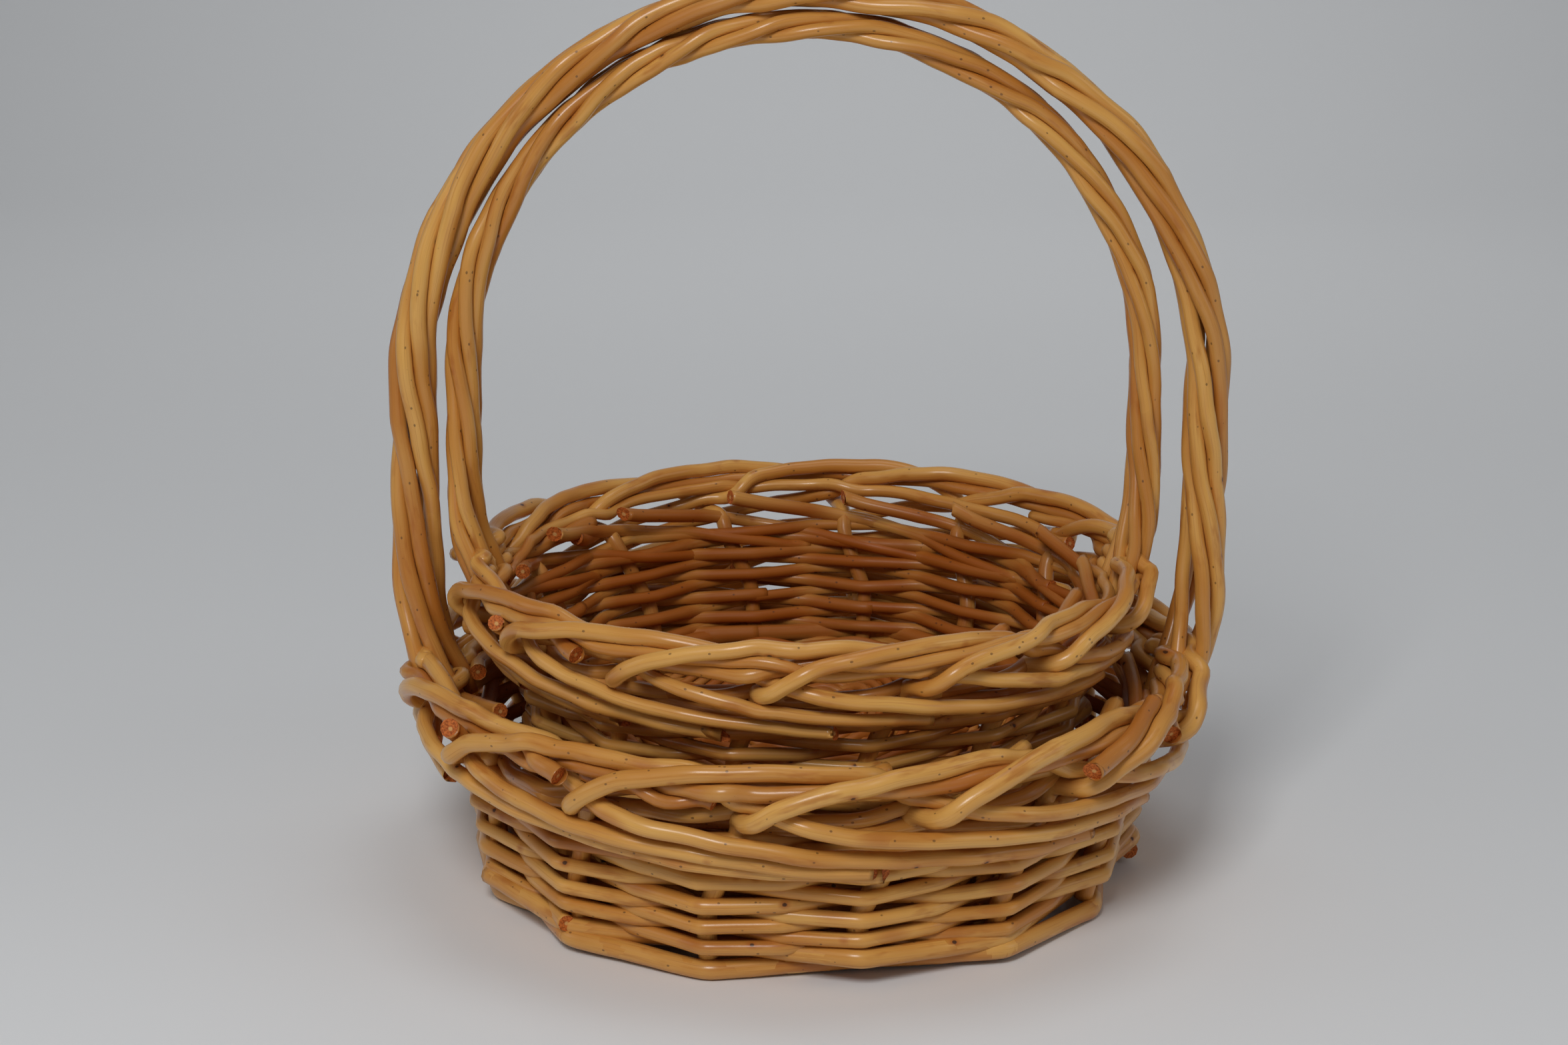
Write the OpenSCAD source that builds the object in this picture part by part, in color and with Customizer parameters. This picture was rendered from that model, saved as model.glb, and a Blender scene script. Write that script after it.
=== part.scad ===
// A nested pair of round willow baskets, each with a fixed arched handle.
// The floor of each basket is sticks and weavers, the wall is stakes with rows
// woven in and out between them, and the rim is a border of turned-down rods.
// Origin: centre of the underside of the large basket, +Z up, handles along X.

/* [Large basket] */
// Radius of the middle of the wall at the underside
large_wall_r = 134; // [120:0.5:165]
// Height from the underside to the flat seat of the border
large_wall_h = 87; // [72:0.5:106]
// Outward lean of the wall, as run over rise
large_lean = 0.2; // [0:0.01:0.3]
// Diameter of the upright stakes
large_stake_d = 6; // [4:0.1:7.2]
// Number of rows of siding
large_rows = 12; // [4:1:16]
// Diameter of the border rods
large_border_d = 8; // [6:0.1:9.6]
// Overall height of the handle, from the underside
large_handle_h = 389; // [330:1:470]
// How far the handle stands out past the border
large_handle_out = 1.6; // [-4:0.1:3]
// Diameter of the handle rods
large_handle_d = 7.6; // [5:0.1:9.2]
// Turn of the stakes from the plane of the handle
large_turn = -4; // [-12:0.5:12]

/* [Small basket] */
// Height from its own underside to the flat seat of the border
small_wall_h = 73.5; // [60:0.5:88.5]
// Outward lean of the wall, as run over rise
small_lean = 0.26; // [0:0.01:0.32]
// Diameter of the upright stakes
small_stake_d = 5.5; // [4:0.1:6.6]
// Number of rows of siding
small_rows = 10; // [4:1:14]
// Diameter of the border rods
small_border_d = 7; // [5:0.1:8.4]
// How far the handle stands out past the border
small_handle_out = 0.8; // [-4:0.1:2]
// Diameter of the handle rods
small_handle_d = 6.6; // [4.5:0.1:8]
// Turn of the stakes from the plane of the handle
small_turn = -1.5; // [-12:0.5:12]

/* [Weave] */
// Stakes round each basket, an even number
stakes_n = 14; // [10:2:18]
// Thickness of a siding rod, across the wall
side_t = 5.5; // [4:0.1:6.6]
// Thickness of a wale rod, across the wall
wale_t = 6; // [4:0.1:7.2]
// Height of a wale rod
wale_h = 6.2; // [4:0.1:7]
// Diameter of the floor sticks
stick_d = 5; // [4:0.1:6]
// Diameter of the floor weavers
weaver_d = 4; // [3:0.1:5]
// Half of the length of the crossed sticks in the middle of the floor
cross_r = 17; // [14:1:40]

/* [Fit] */
// Gap between a rod and the stake that it passes
weave_gap = 0.25; // [0.2:0.05:0.6]
// Gap between one woven ring and the next
row_gap = 0.2; // [0.1:0.05:0.5]
// Height of the small border above the large one
nest_gap = 12.5; // [1:0.5:20]
// Gap round the small basket's wall, inside the large border
nest_side_gap = 17.5; // [4:0.5:25]
// Gap between the small handle and the large handle above it
handle_gap = 1.2; // [0.6:0.1:3]
// Depth of the handle feet in the border
foot_depth = 9; // [4:0.5:10]
// Height of the floor above the underside
floor_lift = 1; // [0:0.5:3]

/* [Hidden] */
$fn = 96;
ROD = "#d0a466";
ROD_PALE = "#dcb87e";
ROD_DARK = "#b98a4e";

// A basket is one list, read by these places, so that the same modules make both.
WALL_R = 0; WALL_H = 1; LEAN = 2; STAKE = 3; ROWS = 4; BORDER = 5; SKIRT_N = 6;
TOP = 7; OUT = 8; HANDLE = 9; BASE_Z = 10; TURN = 11;

// The border seen end on: places outside and above the wall's middle at the
// seat, in rod diameters. The rim is the outline of the bundle that lies on the
// seat, and the skirt is the middles of the rods that hang outside under it.
RIM = [[-0.3, 0], [-0.3, 0.6], [0, 0.95], [0.5, 1.1], [0.8, 1.4], [1.3, 1.5], [2.1, 1.5], [2.4, 1.25],
    [2.75, 0.75], [3, 0.35], [3, 0]];
SKIRT = [[2.15, -0.5], [2.12, -1.4], [1.9, -2.28], [1.55, -3.1]];
// Half of the angle that a rod lies flat across a stake
bend_a = 1.6;
// Gap between the rods of a handle
rod_gap = 0.2;
// Gap between the floor sticks and the weavers over and under them
floor_gap = 0.05;

pitch_a = 360 / stakes_n;
floor_h = stick_d + 2 * (weaver_d + floor_gap);
floor_mid = floor_lift + floor_h / 2;
ridge_h = weaver_d / 4;
large_skirt_n = 4;
small_skirt_n = 3;
rim_top_k = max([for (p = RIM) p[1]]);
rim_out_k = max([for (p = RIM) p[0]]);
rim_in_k = min([for (p = RIM) p[0]]);

large_rim_top = large_wall_h + rim_top_k * large_border_d;
large_rim_in = large_wall_r + large_lean * large_wall_h + rim_in_k * large_border_d;
small_skirt_z = small_wall_h + (SKIRT[small_skirt_n - 1][1] - 0.5) * small_border_d;
small_base_z = up(large_rim_top + nest_gap - small_skirt_z);
small_row_h = siding_h(small_wall_h) / small_rows;
small_wall_half = swing(small_stake_d, side_t, small_row_h, small_lean) + side_t / 2;
small_wall_r = down(large_rim_in - nest_side_gap - small_wall_half
    - small_lean * (large_rim_top - small_base_z));
small_top = large_handle_h - bundle(large_handle_d) - handle_gap;

LARGE = [large_wall_r, large_wall_h, large_lean, large_stake_d, large_rows, large_border_d,
    large_skirt_n, large_handle_h, large_handle_out, large_handle_d, 0, large_turn];
SMALL = [small_wall_r, small_wall_h, small_lean, small_stake_d, small_rows, small_border_d,
    small_skirt_n, small_top, small_handle_out, small_handle_d, small_base_z, small_turn];

// A derived size, rounded up or down to a tenth, so that faces meet exactly
function up(v) = ceil(v * 10) / 10;
function down(v) = floor(v * 10) / 10;
// Thickness of a handle, through its two layers of rods
function bundle(d) = 2 * d + rod_gap;
// Height that the siding fills, between the foot wale and the top wale
function siding_h(wall_h) = wall_h - 4 * (wale_h + row_gap);
// How far a rod swings from the wall's middle to pass a stake
function swing(stake_d, t, h, lean) = stake_d / 2 + t / 2 + lean * h / 2 + weave_gap;
// Radius of the middle of the wall at a height above the basket's own underside
function wall_r(b, z) = b[WALL_R] + b[LEAN] * z;
// Outer radius of the border
function border_r(b) = wall_r(b, b[WALL_H]) + rim_out_k * b[BORDER];
// Half of the outer width of the handle
function handle_r(b) = border_r(b) + b[OUT];
// Lowest point of the handle's feet, above the basket's own underside
function foot_z(b) = b[WALL_H] + rim_top_k * b[BORDER] - foot_depth;
// Angle of a stake
function stake_a(b, k) = b[TURN] + k * pitch_a;
// Outline of a woven ring: flat across each stake and straight between stakes
function ring_line(b, r, a, phase) = [
    for (k = [0 : stakes_n - 1], side = [-1, 1])
        let (q = stake_a(b, k) + side * bend_a, rk = r + (k % 2 == phase ? a : -a))
        [rk * cos(q), rk * sin(q)]
];
// Radius that the floor fills, inside the foot wale
function floor_r(b) = wall_r(b, 0) - swing(b[STAKE], wale_t, wale_h, b[LEAN]) - wale_t / 2;
// Section of a floor mat, with a ridge for each weaver
function mat_line(r) = let (n = floor(r / weaver_d)) [
    [0, 0],
    for (k = [0 : n - 1]) each [[k * r / n, weaver_d - ridge_h], [(k + 0.5) * r / n, weaver_d]],
    [r, weaver_d - ridge_h],
    [r, 0]
];
// Height of the underside of a woven ring: foot wale, siding, then top wale
function siding_z(b, k) = 2 * (wale_h + row_gap) + k * siding_h(b[WALL_H]) / b[ROWS];

// One ring woven in and out round the stakes, from z up to z + h
module woven_ring(b, z, h, t, phase) {
    r = wall_r(b, z + h / 2);
    a = swing(b[STAKE], t, h, b[LEAN]);
    translate([0, 0, b[BASE_Z] + z])
        linear_extrude(h) difference() {
            polygon(ring_line(b, r + t / 2, a, phase));
            polygon(ring_line(b, r - t / 2, a, phase));
        }
}

// The crossed sticks that the floor starts from: four one way under three the other
module floor_cross(b) {
    step = stick_d + row_gap;
    lift = stick_d / 2 + floor_gap;
    color(ROD_DARK) translate([0, 0, b[BASE_Z] + floor_mid]) {
        for (k = [-1.5 : 1.5])
            translate([-cross_r, k * step, -lift]) rotate([0, 90, 0]) cylinder(d = stick_d, h = 2 * cross_r);
        for (k = [-1 : 1])
            translate([k * step, cross_r, lift]) rotate([90, 0, 0]) cylinder(d = stick_d, h = 2 * cross_r);
    }
}

// Floor sticks, spread like spokes from the cross to the foot wale
module floor_sticks(b) {
    start = cross_r + stick_d;
    color(ROD) translate([0, 0, b[BASE_Z] + floor_mid])
        for (k = [0 : stakes_n - 1])
            rotate([0, 90, stake_a(b, k)]) translate([0, 0, start])
                cylinder(d = stick_d, h = floor_r(b) - start);
}

// Floor weavers: a mat of packed rods under the sticks and another over them
module floor_weave(b) {
    step = stick_d + row_gap;
    spare = weaver_d;
    long = 2 * (cross_r + floor_gap);
    color(ROD) translate([0, 0, b[BASE_Z] + floor_mid])
        for (under = [0, 1]) mirror([0, 0, under]) difference() {
            translate([0, 0, floor_h / 2 - weaver_d]) rotate_extrude() polygon(mat_line(floor_r(b) - weave_gap));
            rotate(90 * (1 - under))
                translate([-long / 2, -(3 + under) * step / 2, -spare]) cube([long, (3 + under) * step, floor_h]);
        }
}

// Upright stakes, cut flat at the underside and at the seat of the border
module stakes(b) {
    spare = b[STAKE];
    color(ROD_DARK) intersection() {
        translate([0, 0, b[BASE_Z]]) cylinder(r = border_r(b), h = b[WALL_H]);
        for (k = [0 : stakes_n - 1])
            rotate(stake_a(b, k)) translate([b[WALL_R], 0, b[BASE_Z]]) rotate([0, atan(b[LEAN]), 0])
                translate([0, 0, -spare]) cylinder(d = b[STAKE], h = b[WALL_H] + 4 * spare);
    }
}

// Two thick woven rods at the foot of the wall, which the basket stands on
module foot_wale(b) {
    color(ROD) for (k = [0, 1]) woven_ring(b, k * (wale_h + row_gap), wale_h, wale_t, k);
}

// One row of siding; the next row passes the stakes on the other side
module side_row(b, k) {
    pitch = siding_h(b[WALL_H]) / b[ROWS];
    color(k % 2 == 0 ? ROD : ROD_PALE) woven_ring(b, siding_z(b, k), pitch - row_gap, side_t, k % 2);
}

// Two thick woven rods that lock the siding under the border
module top_wale(b) {
    color(ROD) for (k = [0, 1])
        woven_ring(b, siding_z(b, b[ROWS]) + k * (wale_h + row_gap), wale_h, wale_t, (k + b[ROWS]) % 2);
}

// Pockets in the border for the handle's feet, open to the outside
module handle_pockets(b) {
    spare = b[BORDER];
    wide = 3 * b[HANDLE] + 2 * rod_gap;
    for (side = [0, 1])
        mirror([side, 0, 0]) translate([handle_r(b) - bundle(b[HANDLE]), -wide / 2, b[BASE_Z] + foot_z(b)])
            cube([bundle(b[HANDLE]) + spare, wide, foot_depth + spare]);
}

// Upper part of the border: a bundle of rods on the seat, with the handle's feet let in
module border_rim(b) {
    color(ROD_PALE) difference() {
        translate([0, 0, b[BASE_Z] + b[WALL_H]]) rotate_extrude()
            translate([wall_r(b, b[WALL_H]), 0]) polygon(RIM * b[BORDER]);
        handle_pockets(b);
    }
}

// Lower part of the border: the rods that run down outside the wall
module border_skirt(b) {
    color(ROD) translate([0, 0, b[BASE_Z] + b[WALL_H]]) rotate_extrude()
        for (k = [0 : b[SKIRT_N] - 1])
            translate([wall_r(b, b[WALL_H]), 0] + SKIRT[k] * b[BORDER]) circle(d = b[BORDER]);
}

// Middle radius of a handle rod's arch, in the inner (-0.5) or outer (0.5) layer
function arch_r(b, layer) = handle_r(b) - bundle(b[HANDLE]) / 2 + layer * (b[HANDLE] + rod_gap);

// The two straight legs of a handle rod
module handle_legs(b, layer, lane) {
    z = b[BASE_Z] + foot_z(b);
    for (side = [-1, 1])
        translate([side * arch_r(b, layer), lane * (b[HANDLE] + rod_gap), z])
            cylinder(d = b[HANDLE], h = b[TOP] - handle_r(b) - z);
}

// One rod of a handle: a half circle on two straight legs
module handle_rod(b, layer, lane) {
    color(lane == 0 ? ROD : ROD_PALE) {
        translate([0, lane * (b[HANDLE] + rod_gap), b[TOP] - handle_r(b)]) rotate([90, 0, 0])
            rotate_extrude(angle = 180) translate([arch_r(b, layer), 0]) circle(d = b[HANDLE]);
        handle_legs(b, layer, lane);
    }
}

BASKETS = [["large", LARGE], ["small", SMALL]];
PIECES = ["floor_cross", "floor_sticks", "floor_weave", "stakes", "foot_wale", "top_wale", "border_rim",
    "border_skirt"];
RODS = [["inner", -0.5], ["outer", 0.5]];
LANES = [["front", -1], ["middle", 0], ["back", 1]];

function row_name(side, k) = str(side, "_row_", k + 1);
function rod_name(side, layer, lane) = str(side, "_handle_", layer, "_", lane);

NODES = [
    for (s = BASKETS) each concat(
        [for (p = PIECES) str(s[0], "_", p)],
        [for (k = [0 : s[1][ROWS] - 1]) row_name(s[0], k)],
        [for (layer = RODS, lane = LANES) rod_name(s[0], layer[0], lane[0])]
    )
];
node = "all";

// True if a node of this name is wanted
function wanted(name) = node == "all" || node == name;

for (s = BASKETS) {
    if (wanted(str(s[0], "_floor_cross"))) floor_cross(s[1]);
    if (wanted(str(s[0], "_floor_sticks"))) floor_sticks(s[1]);
    if (wanted(str(s[0], "_floor_weave"))) floor_weave(s[1]);
    if (wanted(str(s[0], "_stakes"))) stakes(s[1]);
    if (wanted(str(s[0], "_foot_wale"))) foot_wale(s[1]);
    for (k = [0 : s[1][ROWS] - 1]) if (wanted(row_name(s[0], k))) side_row(s[1], k);
    if (wanted(str(s[0], "_top_wale"))) top_wale(s[1]);
    if (wanted(str(s[0], "_border_rim"))) border_rim(s[1]);
    if (wanted(str(s[0], "_border_skirt"))) border_skirt(s[1]);
    for (layer = RODS, lane = LANES)
        if (wanted(rod_name(s[0], layer[0], lane[0]))) handle_rod(s[1], layer[1], lane[1]);
}
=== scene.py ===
"""A nested pair of willow baskets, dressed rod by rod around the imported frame.

Each basket is a floor, a wall, a top wale, a border of turned-down stakes and an
arched handle. Every rod is a tapered tube with buds, bends and cut ends, and it
carries its own straight coordinates, so that the grain follows it round.
"""

import logging
import math
from dataclasses import dataclass, field
from enum import Enum
from typing import Callable

import bpy
import numpy as np
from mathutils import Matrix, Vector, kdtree


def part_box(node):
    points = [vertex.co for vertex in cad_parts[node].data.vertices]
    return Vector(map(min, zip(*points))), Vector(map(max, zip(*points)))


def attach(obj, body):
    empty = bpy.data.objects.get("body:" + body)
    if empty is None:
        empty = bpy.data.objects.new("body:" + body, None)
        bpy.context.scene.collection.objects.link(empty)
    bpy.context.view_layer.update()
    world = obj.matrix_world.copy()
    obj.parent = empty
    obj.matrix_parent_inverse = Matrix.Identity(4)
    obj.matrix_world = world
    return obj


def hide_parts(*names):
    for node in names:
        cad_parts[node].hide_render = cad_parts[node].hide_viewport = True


LOG = logging.getLogger("baskets")
MM = 0.001
FULL_TURN = 2.0 * math.pi

Triple = tuple[float, float, float]


class Side(Enum):
    """The two baskets, by the prefix of their nodes and the body they ride on."""

    LARGE = "large"
    SMALL = "small"

    @property
    def body(self) -> str:
        """The CAD body that the basket's pieces ride on."""
        return f"{self.value}_basket"

    @property
    def turn(self) -> float:
        """Angle of the first stake from the plane of the handle."""
        return math.radians({Side.LARGE: -4.0, Side.SMALL: -1.5}[self])


class Sides(Enum):
    """How many flats round a rod, by the curve's bevel resolution."""

    THIN = 3
    ROUND = 4

    @property
    def count(self) -> int:
        """Vertices in one ring of the rod."""
        return 2 * (self.value + 2)


# ---------------------------------------------------------------- shader maths


class Wire:
    """One socket of a shader tree, with arithmetic that adds Math nodes."""

    def __init__(self, tree: bpy.types.NodeTree, socket: bpy.types.NodeSocket) -> None:
        """Wraps a socket of a tree."""
        self.tree = tree
        self.socket = socket

    def _math(self, operation: str, *values: "Wire | float") -> "Wire":
        """Adds a Math node.

        Args:
            operation: what the node does.
            *values: wires or numbers for its inputs, in order.

        Returns:
            The node's result.
        """
        node = self.tree.nodes.new("ShaderNodeMath")
        node.operation = operation
        for place, value in enumerate(values):
            if isinstance(value, Wire):
                self.tree.links.new(value.socket, node.inputs[place])
            else:
                node.inputs[place].default_value = value
        return Wire(self.tree, node.outputs[0])

    def __add__(self, other: "Wire | float") -> "Wire":
        """Sum."""
        return self._math("ADD", self, other)

    __radd__ = __add__

    def __mul__(self, other: "Wire | float") -> "Wire":
        """Product."""
        return self._math("MULTIPLY", self, other)

    __rmul__ = __mul__

    def __sub__(self, other: "Wire | float") -> "Wire":
        """Difference."""
        return self._math("SUBTRACT", self, other)

    def __rsub__(self, other: float) -> "Wire":
        """Difference from a number."""
        return self._math("SUBTRACT", other, self)

    def __gt__(self, other: float) -> "Wire":
        """One where the value is above a limit."""
        return self._math("GREATER_THAN", self, other)

    def ramp(self, low: float, high: float) -> "Wire":
        """Smooth step from 0 at low to 1 at high, or falling when low is above high.

        Args:
            low: value that gives 0.
            high: value that gives 1.

        Returns:
            The stepped value.
        """
        node = self.tree.nodes.new("ShaderNodeMapRange")
        node.interpolation_type = "SMOOTHSTEP"
        self.tree.links.new(self.socket, node.inputs["Value"])
        first, last = min(low, high), max(low, high)
        node.inputs["From Min"].default_value = first
        node.inputs["From Max"].default_value = last
        node.inputs["To Min"].default_value = 0.0 if low < high else 1.0
        node.inputs["To Max"].default_value = 1.0 if low < high else 0.0
        return Wire(self.tree, node.outputs["Result"])

    def sine(self) -> "Wire":
        """Sine of the value, in radians."""
        return self._math("SINE", self)


class Shader:
    """A material being built: makes nodes and joins them to the surface."""

    # Places of a Mix node's colour sockets among those for numbers, vectors and colours.
    MIX_FIRST = 6
    MIX_SECOND = 7
    MIX_RESULT = 2

    def __init__(self, name: str) -> None:
        """Starts an empty material with a principled surface."""
        self.material = bpy.data.materials.new(name)
        self.material.use_nodes = True
        self.tree = self.material.node_tree
        self.tree.nodes.clear()
        self.surface = self.tree.nodes.new("ShaderNodeBsdfPrincipled")
        output = self.tree.nodes.new("ShaderNodeOutputMaterial")
        self.tree.links.new(self.surface.outputs[0], output.inputs[0])

    def node(self, kind: str, settings: dict | None = None, **inputs: object) -> bpy.types.Node:
        """Adds a node, sets it, then joins or sets its inputs.

        Args:
            kind: the node's type without the ShaderNode prefix.
            settings: properties of the node, set first.
            **inputs: input names, with _ for a space, and wires or values.

        Returns:
            The node.
        """
        made = self.tree.nodes.new(f"ShaderNode{kind}")
        for key, value in (settings or {}).items():
            setattr(made, key, value)
        for key, value in inputs.items():
            socket = made.inputs[key.replace("_", " ")]
            if isinstance(value, Wire):
                self.tree.links.new(value.socket, socket)
            else:
                socket.default_value = value
        return made

    def wire(self, node: bpy.types.Node, output: str = "Fac") -> Wire:
        """A node's named output as a wire."""
        return Wire(self.tree, node.outputs[output])

    def stretched(self, vector: Wire, across: float, along: float) -> Wire:
        """Scales a rod's coordinates differently across and along it.

        Args:
            vector: the rod's own coordinates, with the third along it.
            across: scale of the first two.
            along: scale of the third.

        Returns:
            The scaled coordinates.
        """
        made = self.tree.nodes.new("ShaderNodeVectorMath")
        made.operation = "MULTIPLY"
        self.tree.links.new(vector.socket, made.inputs[0])
        made.inputs[1].default_value = (across, across, along)
        return Wire(self.tree, made.outputs[0])

    def mix(self, factor: Wire | float, first: Wire | Triple, second: Wire | Triple) -> Wire:
        """Mixes two colours.

        Args:
            factor: 0 gives the first colour, 1 the second.
            first: a wire, or red, green and blue.
            second: the same, for the other colour.

        Returns:
            The mixed colour.
        """
        made = self.tree.nodes.new("ShaderNodeMix")
        made.data_type = "RGBA"
        if isinstance(factor, Wire):
            self.tree.links.new(factor.socket, made.inputs[0])
        else:
            made.inputs[0].default_value = factor
        for place, colour in ((self.MIX_FIRST, first), (self.MIX_SECOND, second)):
            if isinstance(colour, Wire):
                self.tree.links.new(colour.socket, made.inputs[place])
            else:
                made.inputs[place].default_value = (*colour, 1.0)
        return Wire(self.tree, made.outputs[self.MIX_RESULT])

    def feed(self, name: str, wire: Wire) -> None:
        """Joins a wire to an input of the surface."""
        self.tree.links.new(wire.socket, self.surface.inputs[name])

    def fixed(self, **values: float) -> None:
        """Sets inputs of the surface that are the same all over."""
        for key, value in values.items():
            self.surface.inputs[key.replace("_", " ")].default_value = value


@dataclass(frozen=True)
class WillowFinish:
    """Varnished willow: honey wood, darker streaks, bud scars, pale creases that carry a painted highlight
    at the kinks, and painted shade inside the basket.
    """

    name: str = "varnished_willow"
    honey: Triple = (0.57, 0.230, 0.037)
    pale: Triple = (0.76, 0.405, 0.098)
    amber: Triple = (0.39, 0.105, 0.011)
    # Colour of the painted shade inside the basket.
    painted_shade_colour: Triple = (0.30, 0.062, 0.003)
    scar: Triple = (0.055, 0.022, 0.010)
    halo: Triple = (0.42, 0.120, 0.018)
    streak_depth: float = 0.00018
    sheen_roughness: float = 0.40

    def build(self) -> bpy.types.Material:
        """Makes the material.

        Returns:
            A material that reads the rods' grain and tone, their bend mask for pale creases with a painted
            highlight, and their mask of painted shade inside the basket.
        """
        shader = Shader(self.name)
        grain = shader.wire(shader.node("Attribute", {"attribute_name": "grain"}), "Vector")
        tone = shader.wire(shader.node("Attribute", {"attribute_name": "tone"}))
        crease_and_highlight = shader.wire(shader.node("Attribute", {"attribute_name": "crease_and_highlight"}))
        painted_shade = shader.wire(shader.node("Attribute", {"attribute_name": "painted_shade"}))

        def noise(across: float, along: float, detail: float = 2.0, rough: float = 0.5) -> Wire:
            """Noise in the rod's own coordinates.

            Args:
                across: features per metre across the rod.
                along: features per metre along it.
                detail: how many finer layers are added.
                rough: how strong the finer layers are.

            Returns:
                The noise, from 0 to 1.
            """
            at = shader.stretched(grain, across, along)
            made = shader.node("TexNoise", Vector=at, Scale=1.0, Detail=detail, Roughness=rough)
            return shader.wire(made)

        def spots(across: float, along: float, keep: float) -> tuple[Wire, Wire]:
            """Spots scattered in the rod's own coordinates.

            Args:
                across: spots per metre across the rod.
                along: spots per metre along it.
                keep: share of the spots that the mask leaves out.

            Returns:
                The distance to the nearest spot, and a mask that keeps a few spots.
            """
            at = shader.stretched(grain, across, along)
            made = shader.node("TexVoronoi", Vector=at, Scale=1.0)
            parts = shader.node("SeparateColor", Color=shader.wire(made, "Color"))
            return shader.wire(made, "Distance"), shader.wire(parts, "Red") > keep

        patches = noise(90.0, 14.0, 2.0)
        fibres = noise(1500.0, 22.0, 4.0, 0.62)
        threads = noise(3200.0, 60.0, 2.0, 0.5)
        stains = noise(160.0, 38.0, 3.0, 0.6)

        colour = shader.mix(patches.ramp(0.32, 0.70), self.honey, self.pale)
        colour = shader.mix(tone.ramp(0.55, 1.0) * 0.55, colour, self.pale)
        colour = shader.mix(tone.ramp(0.45, 0.0) * 0.62, colour, self.amber)
        colour = shader.mix(stains.ramp(0.56, 0.74) * 0.55, colour, self.amber)
        colour = shader.mix(fibres.ramp(0.50, 0.72) * 0.38, colour, self.amber)
        colour = shader.mix(threads.ramp(0.35, 0.20) * 0.30, colour, self.pale)
        # Pale creases at sharp bends: pale fibres where the rod is bent, and in part a painted highlight
        # at the kinks.
        colour = shader.mix(crease_and_highlight * 0.45, colour, self.pale)
        # Painted shade: the inside of the basket, below the rim, is darkened towards a deep umber.
        colour = shader.mix(painted_shade * 0.84, colour, self.painted_shade_colour)

        bud, bud_kept = spots(130.0, 105.0, 0.83)
        speck, speck_kept = spots(330.0, 250.0, 0.87)
        glow, glow_kept = spots(110.0, 46.0, 0.80)
        colour = shader.mix(glow.ramp(0.55, 0.12) * glow_kept * 0.55, colour, self.halo)
        colour = shader.mix(bud.ramp(0.34, 0.08) * bud_kept * 0.75, colour, self.halo)
        bud_core = bud.ramp(0.135, 0.085) * bud_kept
        speck_core = speck.ramp(0.19, 0.12) * speck_kept
        colour = shader.mix(bud_core * 0.92, colour, self.scar)
        colour = shader.mix(speck_core * 0.62, colour, self.scar)

        shader.feed("Base Color", colour)
        shader.feed("Roughness", self.sheen_roughness + fibres * 0.12 + stains * 0.06 + bud_core * 0.2)
        shader.feed("Coat Weight", 0.65 - stains.ramp(0.5, 0.8) * 0.20 - painted_shade * 0.60)
        shader.fixed(Coat_Roughness=0.23, Coat_IOR=1.5, Specular_IOR_Level=0.2)
        height = fibres * 0.55 + threads * 0.35 - bud_core * 0.8 + crease_and_highlight * noise(60.0, 900.0, 1.0) * 1.4
        bump = shader.node("Bump", Strength=0.55, Distance=self.streak_depth, Height=height)
        shader.feed("Normal", shader.wire(bump, "Normal"))
        return shader.material


@dataclass(frozen=True)
class CutFinish:
    """A rod's cut end: orange-brown end grain, with a pale pith and fine rings."""

    name: str = "cut_end"
    wood: Triple = (0.64, 0.170, 0.032)
    rim: Triple = (0.30, 0.065, 0.010)
    pith: Triple = (0.72, 0.410, 0.140)

    # Radians that the wave of the rings turns through in a metre.
    ring_turn: float = 9500.0

    def build(self) -> bpy.types.Material:
        """Makes the material.

        Returns:
            A material that reads the rods' grain attribute across the cut.
        """
        shader = Shader(self.name)
        grain = shader.wire(shader.node("Attribute", {"attribute_name": "grain"}), "Vector")
        across = shader.stretched(grain, 1.0, 0.0)
        length = shader.node("VectorMath", {"operation": "LENGTH"}, Vector=across)
        radius = shader.wire(length, "Value")
        rings = (radius * self.ring_turn).sine()
        cracks = shader.wire(shader.node(
            "TexNoise", Vector=shader.stretched(grain, 1400.0, 30.0), Scale=1.0, Detail=3.0))
        colour = shader.mix(cracks.ramp(0.35, 0.68), self.wood, self.rim)
        colour = shader.mix(rings.ramp(0.2, 1.0) * 0.25, colour, self.rim)
        colour = shader.mix(radius.ramp(0.0011, 0.0005) * 0.8, colour, self.pith)
        shader.feed("Base Color", colour)
        shader.fixed(Roughness=0.62, Specular_IOR_Level=0.2)
        bump = shader.node("Bump", Strength=0.5, Distance=0.0002, Height=cracks + rings * 0.2)
        shader.feed("Normal", shader.wire(bump, "Normal"))
        return shader.material


@dataclass(frozen=True)
class StudioFinish:
    """Pale matt paper for the sweep that the baskets stand on."""

    name: str = "studio_paper"
    colour: Triple = (0.86, 0.87, 0.88)

    def build(self) -> bpy.types.Material:
        """Makes the material.

        Returns:
            A material that is mottled faintly, by place.
        """
        shader = Shader(self.name)
        at = shader.wire(shader.node("TexCoord"), "Object")
        mottle = shader.wire(shader.node("TexNoise", Vector=at, Scale=1.3, Detail=2.0))
        low = tuple(0.97 * part for part in self.colour)
        shader.feed("Base Color", shader.mix(mottle, self.colour, low))
        shader.fixed(Roughness=0.75)
        return shader.material


# ------------------------------------------------------------------- one rod


def resample(points: np.ndarray, step: float) -> np.ndarray:
    """Spreads points evenly along a polyline.

    Args:
        points: corner points, one row each.
        step: distance between the new points.

    Returns:
        The new points, first and last kept.
    """
    legs = np.linalg.norm(np.diff(points, axis=0), axis=1)
    run = np.concatenate([[0.0], np.cumsum(legs)])
    count = max(4, int(round(run[-1] / step)) + 1)
    at = np.linspace(0.0, run[-1], count)
    return np.stack([np.interp(at, run, points[:, axis]) for axis in range(3)], axis=1)


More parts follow.
